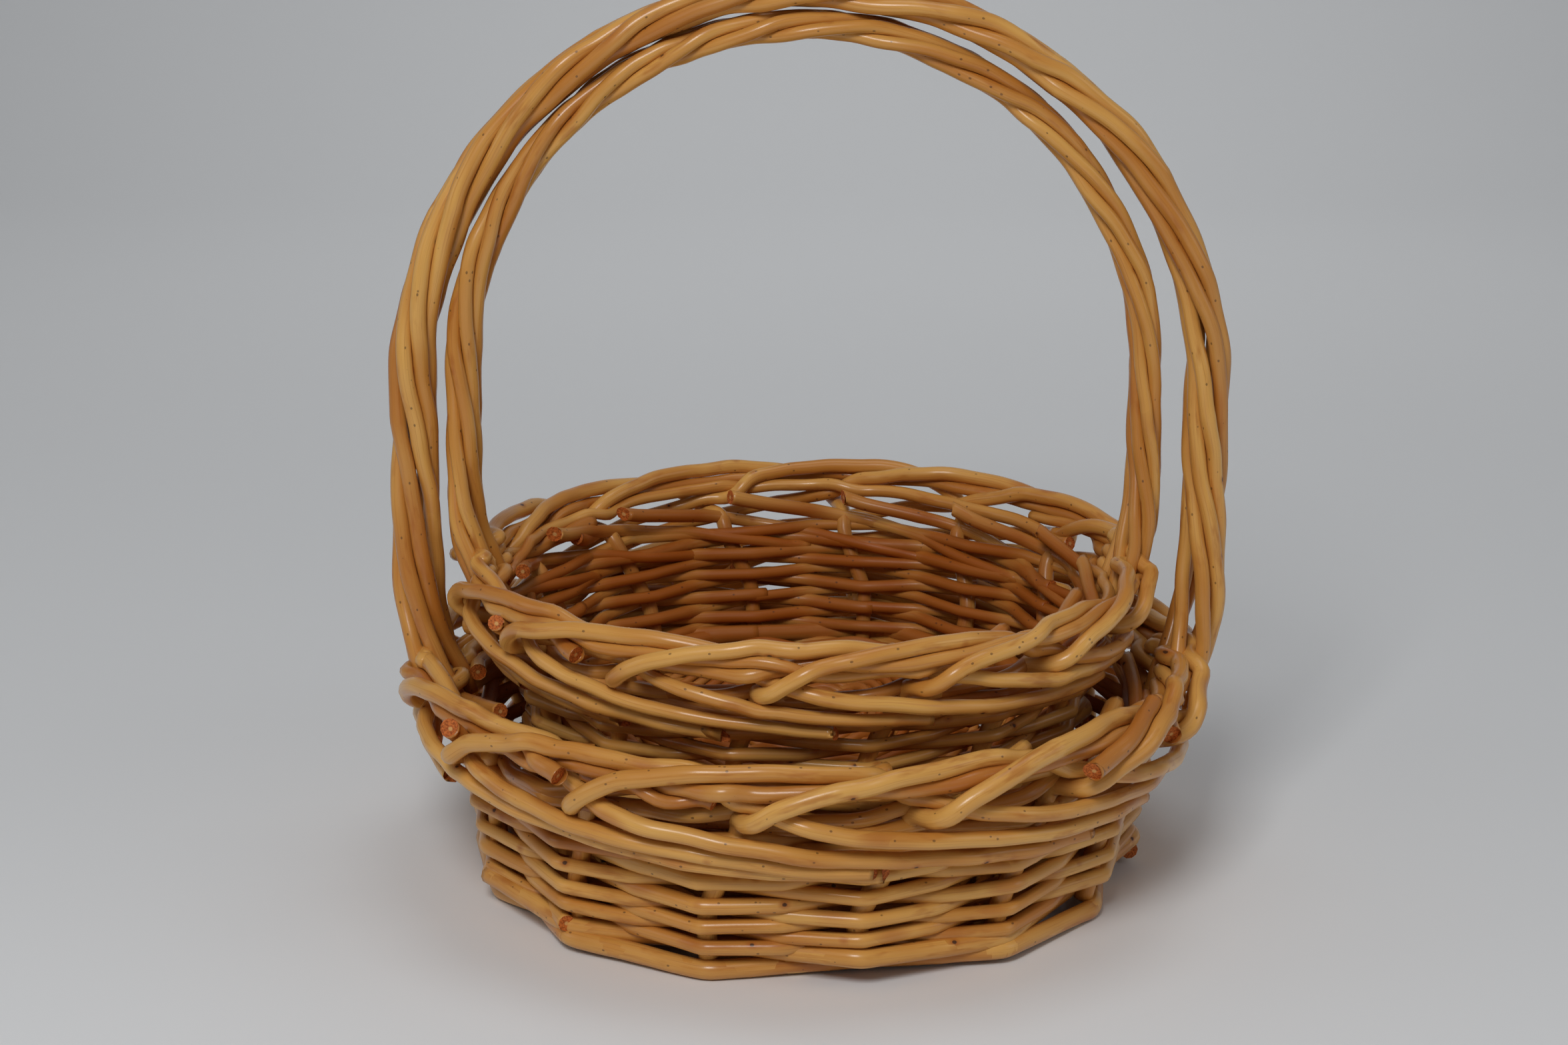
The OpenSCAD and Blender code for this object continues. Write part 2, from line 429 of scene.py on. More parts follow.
def soften(points: np.ndarray, reach: float) -> np.ndarray:
    """Rounds the corners of evenly spaced points, as a stiff rod does.

    Args:
        points: evenly spaced points.
        reach: width of the rounding, in points.

    Returns:
        The rounded points, with the ends kept in place.
    """
    half = max(1, int(math.ceil(3.0 * reach)))
    kernel = np.exp(-0.5 * (np.arange(-half, half + 1) / reach) ** 2)
    kernel /= kernel.sum()
    if len(points) > half:
        before = 2.0 * points[:1] - points[half:0:-1]
        after = 2.0 * points[-1:] - points[-2:-half - 2:-1]
    else:
        before = np.repeat(points[:1], half, 0)
        after = np.repeat(points[-1:], half, 0)
    padded = np.concatenate([before, points, after])
    return np.stack([np.convolve(padded[:, axis], kernel, "valid") for axis in range(3)], axis=1)


@dataclass
class Rod:
    """One willow rod: its path, its taper and how its ends are cut."""

    path: np.ndarray
    butt: float
    tip: float
    step: float = 3.0 * MM
    corner: float = 5.0 * MM
    wander: float = 0.5 * MM
    cut_start: float = 0.0
    cut_end: float = 0.0
    tone: float = 0.5
    sides: Sides = Sides.THIN
    points: np.ndarray = field(init=False)
    radii: np.ndarray = field(init=False)

    # The rod wanders in waves of two lengths, and lies true close to its ends.
    WAVES = (34.0 * MM, 90.0 * MM)
    EASE = 12.0 * MM

    # It swells at each bud, and is beaded faintly all along.
    BUD = 3.2 * MM
    BEAD = 17.0 * MM

    # A bend starts to crease at this ratio of the rod's radius to the bend's, and
    # is creased fully when the ratio has grown by the second number.
    CREASE_FROM = 0.16
    CREASE_OVER = 0.30

    # Vertices closer than this are merged.
    MERGE = 0.02 * MM

    def lay(self, draw: np.random.Generator) -> "Rod":
        """Works out the rod's points and radii, with a natural unevenness.

        Args:
            draw: the seeded source of the unevenness.

        Returns:
            The rod itself.
        """
        even = resample(np.asarray(self.path, float), self.step)
        line = soften(even, self.corner / self.step)
        count = len(line)
        share = np.linspace(0.0, 1.0, count)
        length = self.step * count
        ease = np.clip(np.minimum(share, 1.0 - share) * length / self.EASE, 0.0, 1.0)
        for wave in self.WAVES:
            for axis in range(3):
                phase = draw.uniform(0.0, FULL_TURN)
                size = self.wander * draw.uniform(0.3, 1.0) * (wave / self.WAVES[-1])
                line[:, axis] += ease * size * np.sin(FULL_TURN * share * length / wave + phase)
        radii = self.butt + (self.tip - self.butt) * share
        at = draw.uniform(0.2, 1.0) * 60.0 * MM
        while at < length:
            rise = draw.uniform(0.02, 0.07)
            near = (share * length - at) / self.BUD
            radii = radii * (1.0 + rise * np.exp(-near * near))
            at += draw.uniform(45.0, 110.0) * MM
        self.points = line
        self.radii = radii * (1.0 + 0.02 * np.sin(share * length / self.BEAD + draw.uniform(0.0, 6.0)))
        return self

    def tangents(self) -> np.ndarray:
        """Unit directions along the rod, one at each point."""
        ahead = np.gradient(self.points, axis=0)
        return ahead / np.linalg.norm(ahead, axis=1, keepdims=True)

    def creases(self) -> np.ndarray:
        """How sharply the rod is bent at each point, from 0 to 1."""
        turn = np.linalg.norm(np.gradient(self.tangents(), axis=0), axis=1) / self.step
        return np.clip((turn * self.butt - self.CREASE_FROM) / self.CREASE_OVER, 0.0, 1.0)

    def build(self, start: float, painted_shade: Callable[[np.ndarray], np.ndarray]) -> bpy.types.Object:
        """Makes the rod as a closed mesh with its attributes.

        Args:
            start: offset of the rod's own coordinates, so that no two match.
            painted_shade: gives how shut in each of a list of points is, from 0 to 1, as the mask of
                painted shade inside the basket.

        Returns:
            The new object, which is active and the only one selected.
        """
        bpy.ops.object.select_all(action="DESELECT")
        bpy.ops.curve.primitive_nurbs_path_add(location=(0.0, 0.0, 0.0))
        curve = bpy.context.object.data
        curve.splines.clear()
        spline = curve.splines.new("POLY")
        count = len(self.points)
        spline.points.add(count - 1)
        spline.points.foreach_set("co", np.c_[self.points, np.ones(count)].ravel())
        spline.points.foreach_set("radius", self.radii / MM)
        curve.dimensions = "3D"
        curve.bevel_depth = MM
        curve.bevel_resolution = self.sides.value
        curve.use_fill_caps = True
        bpy.ops.object.convert(target="MESH")
        made = bpy.context.object
        self._dress_mesh(made.data, start, painted_shade)
        bpy.ops.object.mode_set(mode="EDIT")
        bpy.ops.mesh.select_all(action="SELECT")
        bpy.ops.mesh.remove_doubles(threshold=self.MERGE)
        bpy.ops.object.mode_set(mode="OBJECT")
        return made

    def _dress_mesh(self, mesh: bpy.types.Mesh, start: float,
                    painted_shade: Callable[[np.ndarray], np.ndarray]) -> None:
        """Gives a rod's mesh its slanted cuts, attributes and material slots.

        Args:
            mesh: the mesh that the curve became, which lists the last cap, the
                first cap and then every ring, with the caps' triangles first.
            start: offset of the rod's own coordinates.
            painted_shade: gives how shut in each of a list of points is, from 0 to 1, as the mask of
                painted shade inside the basket.
        """
        round_n = self.sides.count
        count = len(self.points)
        run = np.arange(count) * self.step
        turn = FULL_TURN * np.arange(round_n) / round_n
        ring_of = np.concatenate([
            np.full(round_n, count - 1), np.zeros(round_n, int), np.repeat(np.arange(count), round_n)])
        at_turn = np.tile(turn, count + 2)
        place = np.empty(len(mesh.vertices) * 3)
        mesh.vertices.foreach_get("co", place)
        place = place.reshape(-1, 3)
        ahead = self.tangents()
        shift = np.zeros(len(place))
        for ring, cut in ((0, -self.cut_start), (count - 1, self.cut_end)):
            here = ring_of == ring
            shift[here] = cut * self.radii[ring] * (np.cos(at_turn[here]) - 1.0)
        place = place + ahead[ring_of] * shift[:, None]
        mesh.vertices.foreach_set("co", place.ravel())
        reach = self.radii[ring_of]
        grain = np.stack([
            reach * np.cos(at_turn), reach * np.sin(at_turn), start + run[ring_of] + shift], axis=1)
        mesh.attributes.new("grain", "FLOAT_VECTOR", "POINT").data.foreach_set("vector", grain.ravel())
        mesh.attributes.new("tone", "FLOAT", "POINT").data.foreach_set(
            "value", np.full(len(place), self.tone))
        # The bend mask for pale creases, which are partly a painted highlight at the kinks.
        mesh.attributes.new("crease_and_highlight", "FLOAT", "POINT").data.foreach_set("value", self.creases()[ring_of])
        # The mask of painted shade, which darkens the rod where it is inside the basket.
        mesh.attributes.new("painted_shade", "FLOAT", "POINT").data.foreach_set("value", painted_shade(place))
        mesh.materials.append(bpy.data.materials[WillowFinish.name])
        mesh.materials.append(bpy.data.materials[CutFinish.name])
        caps = 2 * (round_n - 2)
        total = len(mesh.polygons)
        mesh.polygons.foreach_set("material_index", (np.arange(total) < caps).astype(np.int32))
        mesh.polygons.foreach_set("use_smooth", np.arange(total) >= caps)
        while mesh.uv_layers:
            mesh.uv_layers.remove(mesh.uv_layers[0])


# Rounds between two searches for points that are close, and how much further than
# twice a rod's own radius a search looks.
SEARCH_EVERY = 8
SEARCH_MARGIN = 2.0 * MM

# Points of one rod that are fewer than this many steps apart don't push each other.
OWN_STEPS = 8

# Share of an overlap that one push takes away, the width in points over which a push
# is spread along its rod, what the spreading is made up by, and the pull back home.
GIVE = 0.45
SPREAD = 1.6
MAKE_UP = 1.25
PULL_BACK = 0.004


def near_pairs(place: np.ndarray, radii: np.ndarray, owner: np.ndarray, order: np.ndarray,
               moving: int) -> np.ndarray:
    """Finds the points of rods that are close enough to touch soon.

    Args:
        place: every rod's points, one row each, with those of the moving rods first.
        radii: the rod's radius at each point.
        owner: number of the rod that each point is on.
        order: number of each point along its rod.
        moving: how many of the rods may move.

    Returns:
        Pairs of point numbers, the first always on a rod that may move.
    """
    tree = kdtree.KDTree(len(place))
    for index, point in enumerate(place):
        tree.insert(point, index)
    tree.balance()
    found = []
    for index in range(np.count_nonzero(owner < moving)):
        for _, other, _ in tree.find_range(place[index], 2.0 * radii[index] + SEARCH_MARGIN):
            if other <= index and owner[other] < moving:
                continue
            if owner[other] == owner[index] and abs(order[other] - order[index]) < OWN_STEPS:
                continue
            found.append((index, other))
    return np.array(found, int).reshape(-1, 2)


def settle(rods: list[Rod], fixed: list[Rod], rounds: int, room: float = 0.0) -> None:
    """Pushes rods apart, little by little, so that they lie on each other and not in each other.

    Args:
        rods: rods that may move.
        fixed: rods that stay where they are.
        rounds: how many times the push is repeated.
        room: space left between a rod that moves and one that stays.
    """
    if rounds <= 0 or not rods:
        return
    every = rods + fixed
    sizes = [len(rod.points) for rod in every]
    first = np.concatenate([[0], np.cumsum(sizes)])
    place = np.concatenate([rod.points for rod in every])
    home = place.copy()
    radii = np.concatenate([rod.radii for rod in every])
    owner = np.repeat(np.arange(len(every)), sizes)
    order = np.concatenate([np.arange(size) for size in sizes])
    moving = (owner < len(rods)).astype(float)
    for turn in range(rounds):
        if turn % SEARCH_EVERY == 0:
            pairs = near_pairs(place, radii, owner, order, len(rods))
        if not len(pairs):
            break
        gap = place[pairs[:, 0]] - place[pairs[:, 1]]
        far = np.linalg.norm(gap, axis=1) + 1e-9
        over = radii[pairs[:, 0]] + radii[pairs[:, 1]] + room * (1.0 - moving[pairs[:, 1]]) - far
        over = np.clip(over, 0.0, None)
        share = np.where(moving[pairs[:, 1]] > 0.0, 0.5, 1.0)
        push = gap / far[:, None] * (over * GIVE * share)[:, None]
        move = np.zeros_like(place)
        hits = np.zeros(len(place))
        np.add.at(move, pairs[:, 0], push)
        np.add.at(move, pairs[:, 1], -push)
        np.add.at(hits, pairs[:, 0], over > 0.0)
        np.add.at(hits, pairs[:, 1], over > 0.0)
        move /= np.maximum(hits, 1.0)[:, None] ** 0.5
        for index in range(len(rods)):
            part = slice(first[index], first[index + 1])
            move[part] = soften(move[part], SPREAD) * MAKE_UP
        place += move * moving[:, None] + (home - place) * PULL_BACK * moving[:, None]
    for index, rod in enumerate(rods):
        rod.points = place[first[index]:first[index + 1]]


class Workshop:
    """Turns laid rods into pieces on the right body."""

    def __init__(self, seed: int) -> None:
        """Starts the one seeded source that all unevenness is drawn from."""
        self.draw = np.random.default_rng(seed)
        self.count = 0
        self.triangles = 0

    def vary(self, low: float, high: float) -> float:
        """A seeded number between two values."""
        return float(self.draw.uniform(low, high))

    def piece(self, name: str, rods: list[Rod], sizes: "BasketFrame", slot: str,
              *nodes: str) -> bpy.types.Object:
        """Builds rods, joins them into one piece and puts it on its body.

        Args:
            name: the piece's name, without the basket's.
            rods: the laid rods in it.
            sizes: the basket it belongs to.
            slot: the record's material slot; it is not used.
            *nodes: the CAD nodes that it stands for, without the basket's name.

        Returns:
            The piece.
        """
        side = sizes.side
        made = [rod.build(self.vary(0.0, 60.0), sizes.painted_shade) for rod in rods]
        bpy.ops.object.select_all(action="DESELECT")
        for one in made:
            one.select_set(True)
        bpy.context.view_layer.objects.active = made[0]
        if len(made) > 1:
            bpy.ops.object.join()
        piece = bpy.context.object
        piece.name = piece.data.name = f"{side.value}_{name}"
        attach(piece, side.body)
        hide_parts(*(f"{side.value}_{node}" for node in nodes))
        self.count += 1
        self.triangles += 2 * len(piece.data.polygons)
        LOG.info("%s: %d rods, %d faces", piece.name, len(rods), len(piece.data.polygons))
        return piece


# ------------------------------------------------------------ basket geometry


@dataclass
class BasketFrame:
    """Sizes of one basket, measured on its CAD nodes."""

    side: Side
    stakes: int = 14
    side_t: float = 5.5 * MM
    flat_half: float = math.radians(1.6)
    base_z: float = field(init=False)
    seat_z: float = field(init=False)
    siding: list[float] = field(init=False)
    low_r: float = field(init=False)
    low_z: float = field(init=False)
    lean: float = field(init=False)
    swing: float = field(init=False)
    border_d: float = field(init=False)
    handle_d: float = field(init=False)
    handle_r: float = field(init=False)
    handle_top: float = field(init=False)
    floor_r: float = field(init=False)
    floor_z: tuple[float, float] = field(init=False)
    cross_r: float = field(init=False)

    # The CAD border's height, and how far its edge is from the wall's middle, in
    # diameters of a border rod.
    RIM_RISE = 1.5
    RIM_REACH = 3.0

    def __post_init__(self) -> None:
        """Reads the nodes' boxes."""
        name = self.side.value
        rows = sorted(
            (node for node in frame["nodes"] if node.startswith(f"{name}_row_")),
            key=lambda node: int(node.rsplit("_", 1)[1]))
        boxes = [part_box(node) for node in rows]
        self.siding = [(low.z + high.z) / 2.0 for low, high in boxes]
        flat = math.cos(abs(self.side.turn) - self.flat_half)
        outer_r = [max(high.x, -low.x) / flat for low, high in boxes]
        self.base_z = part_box(f"{name}_foot_wale")[0].z
        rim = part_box(f"{name}_border_rim")
        self.seat_z = rim[0].z
        self.border_d = (rim[1].z - rim[0].z) / self.RIM_RISE
        self.lean = (outer_r[-1] - outer_r[0]) / (self.siding[-1] - self.siding[0])
        self.low_z = self.siding[0]
        edge = rim[1].y - self.RIM_REACH * self.border_d
        self.low_r = edge - self.lean * (self.seat_z - self.low_z)
        self.swing = outer_r[0] - self.low_r - self.side_t / 2.0
        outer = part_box(f"{name}_handle_outer_middle")
        self.handle_d = outer[1].y - outer[0].y
        self.handle_r = outer[1].x
        self.handle_top = outer[1].z
        self.floor_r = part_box(f"{name}_floor_sticks")[1].x
        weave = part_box(f"{name}_floor_weave")
        self.floor_z = (weave[0].z, weave[1].z)
        self.cross_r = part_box(f"{name}_floor_cross")[1].x

    @property
    def pitch(self) -> float:
        """Angle from one stake to the next."""
        return FULL_TURN / self.stakes

    def wall_r(self, z: float) -> float:
        """Radius of the middle of the wall at a height."""
        return self.low_r + self.lean * (z - self.low_z)

    def spot(self, steps: float, out: float, z: float) -> Triple:
        """Places a point on the wall or near it.

        Args:
            steps: stakes round from the first one.
            out: distance outside the wall's middle.
            z: height.

        Returns:
            The point.
        """
        angle = steps * self.pitch + self.side.turn
        reach = self.wall_r(min(z, self.seat_z)) + out
        return reach * math.cos(angle), reach * math.sin(angle), z

    def painted_shade(self, places: np.ndarray) -> np.ndarray:
        """Tells how shut in by the basket each place is: the mask of the painted shade that darkens the
        inside of the basket.

        Args:
            places: points, one row each.

        Returns:
            For each point, 1 well inside the wall and 0 outside it, above or beneath,
            with every edge eased over the length that its line divides by.
        """
        reach = np.hypot(places[:, 0], places[:, 1])
        height = places[:, 2]
        inside = (self.low_r + self.lean * (height - self.low_z) + 3.0 * MM - reach) / (8.0 * MM)
        below = (self.seat_z + 7.0 * MM - height) / (12.0 * MM)
        above = (height - self.base_z - 5.0 * MM) / (6.0 * MM)
        return np.clip(inside, 0.0, 1.0) * np.clip(below, 0.0, 1.0) * np.clip(above, 0.0, 1.0)


@dataclass
class Floor:
    """The round floor: crossed sticks, spokes, and weavers paired round them."""

    frame: BasketFrame
    stick_d: float = 5.0 * MM
    stick_pitch: float = 5.3 * MM
    spoke_butt: float = 2.7 * MM
    spoke_tip: float = 2.2 * MM
    weaver_d: float = 4.3 * MM
    weaver_pitch: float = 3.6 * MM
    weaver_sway: float = 0.9 * MM

    def build(self, shop: Workshop) -> None:
        """Builds the three pieces of the floor.

        Args:
            shop: where rods become pieces.
        """
        shop.piece("floor_cross_sticks", self._cross(shop), self.frame, "willow_stakes", "floor_cross")
        shop.piece("floor_spokes", self._spokes(shop), self.frame, "willow_stakes", "floor_sticks")
        shop.piece("floor_weavers", self._weavers(shop), self.frame, "willow_weave", "floor_weave")

    @property
    def middle_z(self) -> float:
        """Height of the middle of the floor's thickness."""
        return sum(self.frame.floor_z) / 2.0

    def _cross(self, shop: Workshop) -> list[Rod]:
        """Lays four sticks one way under three the other way.

        Args:
            shop: where the unevenness is drawn.

        Returns:
            The sticks.
        """
        rods = []
        reach = self.frame.cross_r + 6.0 * MM
        for count, lift, turned in ((4, -0.5, False), (3, 0.5, True)):
            for index in range(count):
                across = (index - (count - 1) / 2.0) * self.stick_pitch
                z = self.middle_z + lift * self.stick_d
                ends = [(-reach, across, z), (0.0, across, z), (reach, across, z)]
                path = np.array([(y, x, h) if turned else (x, y, h) for x, y, h in ends])
                rods.append(Rod(path, self.stick_d / 2, self.stick_d / 2, wander=0.3 * MM,
                                tone=shop.vary(0.1, 0.6)).lay(shop.draw))
        return rods

    def _spokes(self, shop: Workshop) -> list[Rod]:
        """Lays one stick at each stake, from the cross to the foot of the wall.

        Args:
            shop: where the unevenness is drawn.

        Returns:
            The spokes, in order round the floor.
        """
        rods = []
        for index in range(self.frame.stakes):
            angle = index * self.frame.pitch + self.frame.side.turn + shop.vary(-0.02, 0.02)
            start, end = self.frame.cross_r - 2.0 * MM, self.frame.floor_r + 4.0 * MM
            ends = np.array([(r * math.cos(angle), r * math.sin(angle), self.middle_z)
                             for r in (start, (start + end) / 2, end)])
            rods.append(Rod(ends, self.spoke_butt, self.spoke_tip,
                            tone=shop.vary(0.2, 0.7)).lay(shop.draw))
        return rods

    def _weavers(self, shop: Workshop) -> list[Rod]:
        """Lays rings of weavers, over and under the spokes turn about.

        Args:
            shop: where the unevenness is drawn.

        Returns:
            The weavers, from the innermost ring outwards.
        """
        rods = []
        first = self.frame.cross_r + 1.5 * MM
        rings = int((self.frame.floor_r - first) / self.weaver_pitch) + 1
        for ring in range(rings):
            radius = first + ring * self.weaver_pitch
            lift = (self.stick_d + self.weaver_d) / 2.0 * min(0.92, 0.5 + radius / (120 * MM))
            points = []
            for step in range(2 * self.frame.stakes + 1):
                sign = 1 if (step // 2 + ring) % 2 == 0 else -1
                height = sign * lift if step % 2 == 0 else 0.0
                out = radius + (self.weaver_sway if step % 4 < 2 else -self.weaver_sway)
                angle = step / 2.0 * self.frame.pitch + self.frame.side.turn
                points.append((out * math.cos(angle), out * math.sin(angle), self.middle_z + height))
            thick = shop.vary(1.85, 2.35) * MM
            rods.append(Rod(np.array(points), thick, thick * 0.9, corner=3.2 * MM, wander=0.4 * MM,
                            tone=shop.vary(0.0, 0.9)).lay(shop.draw))
        return rods


@dataclass
class Wall:
    """The side of a basket: foot wale, rows of siding and top wale."""

    frame: BasketFrame
    butt: float
    tip: float
    row_steps: int = 8
    row_sway: float = 0.7 * MM
    foot_butt: float = 4.1 * MM
    foot_tip: float = 3.5 * MM
    foot_rounds: int = 2
    foot_rods: int = 3
    foot_low: float = 5.0 * MM
    foot_pitch: float = 6.4 * MM

    # Millimetres above its round at which a rod of the foot passes each of three stakes.
    FOOT_RISE = (1.3, -0.9, 0.6)

    def build(self, shop: Workshop) -> None:
        """Builds one piece for each row, and one for each wale.

        Args:
            shop: where rods become pieces.
        """
        shop.piece("foot_wale_rods", self._foot(shop), self.frame, "willow_weave", "foot_wale")
        for index, z in enumerate(self.frame.siding):
            shop.piece(f"siding_row_{index + 1:02d}", self._row(shop, index, z), self.frame,
                       "willow_weave", f"row_{index + 1}")
        shop.piece("top_wale_rods", self._top(shop), self.frame, "willow_weave", "top_wale")

    def _row(self, shop: Workshop, index: int, z: float) -> list[Rod]:
        """Lays two rods that fill one row, in front of one stake and behind the next.

        Args:
            shop: where the unevenness is drawn.
            index: number of the row, from the lowest.
            z: height of the row.

        Returns:
            The two rods, one after the other round the basket.
        """
        rods = []
        swing = self.frame.swing + 0.3 * MM
        first = 2 * int(shop.vary(0, self.frame.stakes // 2)) + (index + 1) % 2
        level = z + shop.vary(-self.row_sway, self.row_sway)
        for steps in (self.row_steps, self.frame.stakes - self.row_steps):
            points = [self.frame.spot(first - 0.1, -0.8 * swing, level)]
            for step in range(2 * steps + 1):
                at = first + step / 2.0
                sign = 1 if (math.floor(at) + index) % 2 == 0 else -1
                out = sign * (0.6 * MM if step % 2 else swing)
                points.append(self.frame.spot(at, out, level + shop.vary(-0.9, 0.9) * MM))
            points.append(self.frame.spot(first + steps + 0.1, -0.8 * swing, level))
            butt = self.butt * shop.vary(0.9, 1.06)
            tip = self.tip * shop.vary(0.92, 1.1)
            rods.append(Rod(np.array(points), butt, tip, corner=1.3 * MM, wander=0.22 * MM,
                            tone=shop.vary(0.0, 1.0)).lay(shop.draw))
            first += steps
        return rods

    def _foot(self, shop: Workshop) -> list[Rod]:
        """Lays thicker rods in rounds, out past two stakes and in behind one.

        Args:
            shop: where the unevenness is drawn.

        Returns:
            The rods, round by round from the lowest.
        """
        swing = self.frame.swing
        outs = (swing + 2.2 * MM, swing - 0.6 * MM, -swing)
        rods = []
        for level in range(self.foot_rounds):
            middle = self.frame.base_z + self.foot_low + self.foot_pitch * level
            for lead in range(self.foot_rods):
                points = []
                for step in range(self.frame.stakes + 2):
                    phase = (step + lead + level) % 3
                    z = middle + self.FOOT_RISE[phase] * MM
                    points.append(self.frame.spot(step + 4 * lead, outs[phase], z))
                rods.append(Rod(np.array(points), self.foot_butt, self.foot_tip, corner=3.0 * MM,
                                wander=0.3 * MM, tone=shop.vary(0.2, 0.9)).lay(shop.draw))
        return rods

    def _top(self, shop: Workshop) -> list[Rod]:
        """Lays short thick rods that rise to the right and end inside, each with a cut butt.

        Args:
            shop: where the unevenness is drawn.

        Returns:
            The rods, each with its cut butt first.
        """
        rods = []
        seat = self.frame.seat_z
        thick = self.frame.border_d / 2.0
        inside, outside = -self.frame.swing - 1.2 * MM, self.frame.swing
        for index in range(self.frame.stakes):
            end = shop.vary(0.16, 0.34)
            drop = shop.vary(-1.5, 1.5) * MM
            steps = [(-2.5, 0.0, -25.0), (-2.0, inside, -20.0), (-1.5, 0.0, -16.0), (-1.0, outside, -12.5),
                     (-0.6, 0.0, -7.0), (0.0, inside, -0.5), (end, inside - 1.5 * MM, 3.0)]
            points = [self.frame.spot(index + at, out, seat + rise * MM + drop) for at, out, rise in steps]
            rods.append(Rod(np.array(points[::-1]), thick * shop.vary(0.86, 1.02), thick * 0.72,
                            corner=6.0 * MM, cut_start=shop.vary(0.1, 0.9), wander=0.6 * MM,
                            tone=shop.vary(0.05, 0.6)).lay(shop.draw))
        return rods


@dataclass
class Border:
    """The rolled border: each stake turns down and runs four stakes round."""

    frame: BasketFrame

    # Stakes round from the rod's own stake, millimetres outside the wall's middle,
    # and millimetres above the seat, for an 8 mm rod.
    COURSE = (
        (0.00, 0.0, -17.0), (0.00, 2.0, -11.0), (0.03, 8.0, -9.5), (0.07, 15.5, -9.0),
        (0.13, 20.5, -6.5), (0.22, 21.5, -0.5), (0.38, 20.5, 5.0), (0.60, 18.5, 8.5),
        (0.85, 16.5, 10.5), (1.20, 13.5, 11.5), (1.50, 10.5, 10.5), (1.80, 7.5, 6.5),
        (2.00, 6.5, 1.5), (2.15, 9.0, -3.0), (2.30, 15.0, -6.0), (2.45, 19.0, -8.5),
        (2.70, 20.5, -12.0), (3.10, 19.5, -17.0), (3.50, 18.0, -21.0), (4.00, 16.0, -25.5),
        (4.50, 14.5, -29.0), (5.00, 13.0, -32.0), (5.60, 12.0, -34.5),
    )
    COURSE_D = 8.0 * MM

    # Stakes round by which a rod leans before it turns down, and how far round it
    # goes before it may differ from its neighbours.
    SWAY = {Side.LARGE: 0.27, Side.SMALL: 0.22}
    FREE_FROM = 0.3

    # Rings of hidden rods, each by its distance outside the wall's middle and above the seat.
    CORE = ((4.5, 0.5), (12.5, 5.0))
    CORE_RODS = 3
    CORE_LAP = 1.4

    # Cut butts, each as the place of its face and the place where it goes out of sight.
    BUTTS = {
        Side.LARGE: (
            ((9.34, 22.0, 3.0), (8.92, 8.0, 7.0)),
            ((8.50, 25.0, 9.0), (8.46, 14.0, -4.0)),
            ((12.95, 24.0, 1.0), (13.30, 8.0, 5.0)),
            ((12.20, 25.0, 2.0), (13.00, 16.0, 12.0)),
        ),
        Side.SMALL: (
            ((8.30, 22.0, 4.0), (8.24, 10.0, -6.0)),
            ((9.10, 21.0, 1.0), (8.70, 8.0, 6.0)),
            ((5.80, -5.0, -3.0), (5.40, 2.0, -8.0)),
        ),
    }

    def _place(self, steps: float, out: float, rise: float) -> Triple:
        """Places a point of the border.

        Args:
            steps: stakes round from the first one.
            out: millimetres outside the wall's middle, for an 8 mm rod.
            rise: millimetres above the seat, for an 8 mm rod.

        Returns:
            The point, for this basket's own rods.
        """
        scale = self.frame.border_d / self.COURSE_D
        return self.frame.spot(steps, out * scale * MM, self.frame.seat_z + rise * scale * MM)

    def lay(self, shop: Workshop) -> list[Rod]:
        """Lays one rod for each stake, from the floor up and round the border.

        Args:
            shop: where the unevenness is drawn.

        Returns:
            The rods, in order round the basket.
        """
        rods = []
        frame_ = self.frame
        sway = self.SWAY[frame_.side]
        thick = frame_.border_d / 2.0
        for index in range(frame_.stakes):
            stretch = shop.vary(0.94, 1.06)
            lift, lean = shop.vary(-1.3, 1.3), shop.vary(-1.0, 1.0)
            foot = [frame_.spot(index, 0.0, frame_.base_z + h * MM) for h in (8.0, 30.0)]
            last = shop.vary(4.2, 5.7)
            course = []
            for at, out, rise in self.COURSE:
                if at > last:
                    break
                if at > self.FREE_FROM:
                    at, out, rise = at * stretch, out + lean, rise + lift
                course.append(self._place(index + sway + at, out, rise))
            rods.append(Rod(
                np.array(foot + course), thick * shop.vary(1.0, 1.1), thick * shop.vary(0.72, 0.86),
                step=2.6 * MM, corner=3.0 * MM, wander=0.7 * MM, cut_end=shop.vary(0.4, 2.0),
                tone=shop.vary(0.2, 1.0), sides=Sides.ROUND).lay(shop.draw))
        return rods

    def butts(self, shop: Workshop) -> list[Rod]:
        """Lays the short cut butts that stick out between the border rods.

        Args:
            shop: where the unevenness is drawn.

        Returns:
            The butts, each with its cut face first.
        """
        rods = []
        for face, tail in self.BUTTS[self.frame.side]:
            halfway = [(a + b) / 2.0 for a, b in zip(face, tail)]
            path = [self._place(*spot) for spot in (face, halfway, tail)]
            thick = self.frame.border_d / 2.0 * shop.vary(0.95, 1.08)
            rods.append(Rod(np.array(path), thick, thick * 0.9, step=1.5 * MM, wander=0.3 * MM,
                            cut_start=shop.vary(0.3, 0.8), tone=0.05, sides=Sides.ROUND).lay(shop.draw))
        return rods

    def core(self, shop: Workshop) -> list[Rod]:
        """Lays the rods that fill the border under its ridge.

        Args:
            shop: where the unevenness is drawn.

        Returns:
            The rods, each a third of the way round and a little more.
        """
        arc = self.frame.stakes / self.CORE_RODS + self.CORE_LAP
        thick = self.frame.border_d / 2.0
        rods = []
        for middle_out, middle_rise in self.CORE:
            for index in range(self.CORE_RODS):
                first = index * self.frame.stakes / self.CORE_RODS + shop.vary(-1.5, 1.5)
                path = []
                for share in np.linspace(0.0, 1.0, 25):
                    dip = 3.0 * math.cos(FULL_TURN * share)
                    out = middle_out - dip + shop.vary(-0.5, 0.5)
                    rise = middle_rise - dip + shop.vary(-0.5, 0.5)
                    path.append(self._place(first + arc * share, out, rise))
                rods.append(Rod(np.array(path), thick * 0.9, thick * 0.7, corner=6.0 * MM,
                                tone=shop.vary(0.0, 0.5)).lay(shop.draw))
        return rods

